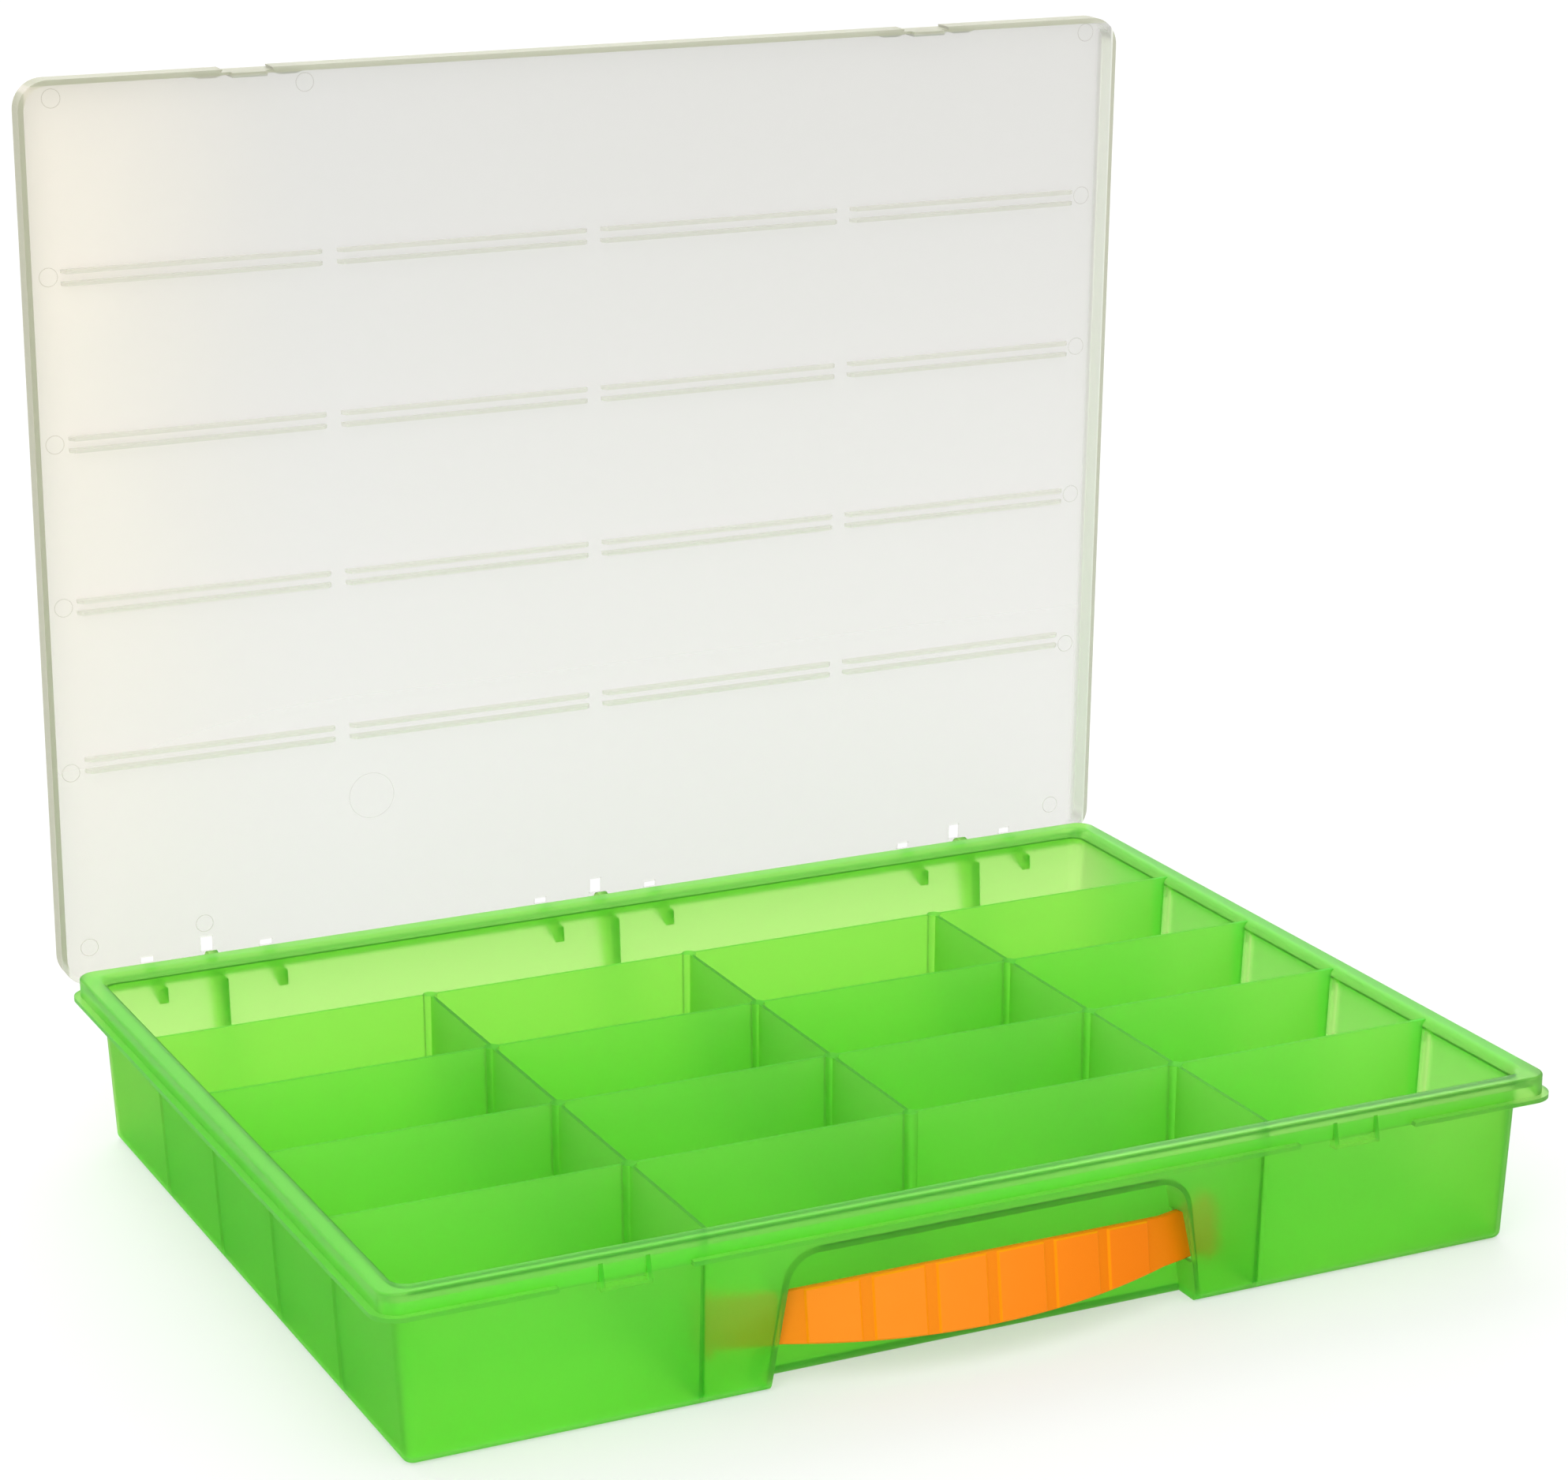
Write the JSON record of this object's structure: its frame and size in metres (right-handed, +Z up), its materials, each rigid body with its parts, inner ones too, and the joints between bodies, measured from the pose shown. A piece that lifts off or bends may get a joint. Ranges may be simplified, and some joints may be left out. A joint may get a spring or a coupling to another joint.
{
  "type": "parts organizer",
  "caption": "Flat plastic parts organizer: a compartment tray with fixed dividers, a hinged see-through lid standing open, and a carry strap in a recess of its front wall.",
  "frame": {"origin": "middle of the tray's flat underside, halfway between the outsides of the rim, at the base mount", "axes": "+X along the front from left to right, +Y from the front wall with the carry strap to the hinge side, +Z up out of the tray"},
  "size_m": [0.4, 0.3132, 0.3586],
  "materials": {
    "tray": "translucent green polypropylene, finely frosted",
    "lid": "natural milky polypropylene, see-through",
    "strap": "opaque orange flexible plastic, satin"
  },
  "bodies": {
    "tray": {"tray_shell": "tray", "handle_recess": "tray", "tray_rim": "tray", "latch_catch_left": "tray", "latch_catch_right": "tray", "row_divider_1": "tray", "row_divider_2": "tray", "row_divider_3": "tray", "row_divider_4": "tray", "column_divider_left": "tray", "column_divider_centre": "tray", "column_divider_right": "tray", "hinge_hook_left": "tray", "hinge_hook_centre": "tray", "hinge_hook_right": "tray", "lid_stop_1": "tray", "lid_stop_2": "tray", "lid_stop_3": "tray", "lid_stop_4": "tray", "lid_stop_5": "tray", "lid_stop_6": "tray"},
    "lid": {"lid_panel": "lid", "lid_hinge_rod": "lid", "lid_latch_left": "lid", "lid_latch_right": "lid", "lid_rib_row_1": "lid", "lid_rib_row_2": "lid", "lid_rib_row_3": "lid", "lid_rib_row_4": "lid"},
    "handle": {"carry_strap": "strap"}
  },
  "joints": [
    {"name": "lid_hinge", "type": "hinge", "parent": "tray", "child": "lid", "pos_m": [0, 0.1541, 0.0525], "axis": [1, 0, 0], "range_deg": [0, 88.3]},
    {"name": "strap_slide", "type": "slide", "parent": "tray", "child": "handle", "axis": [1, 0, 0], "range_m": [0, 0.0074]}
  ]
}
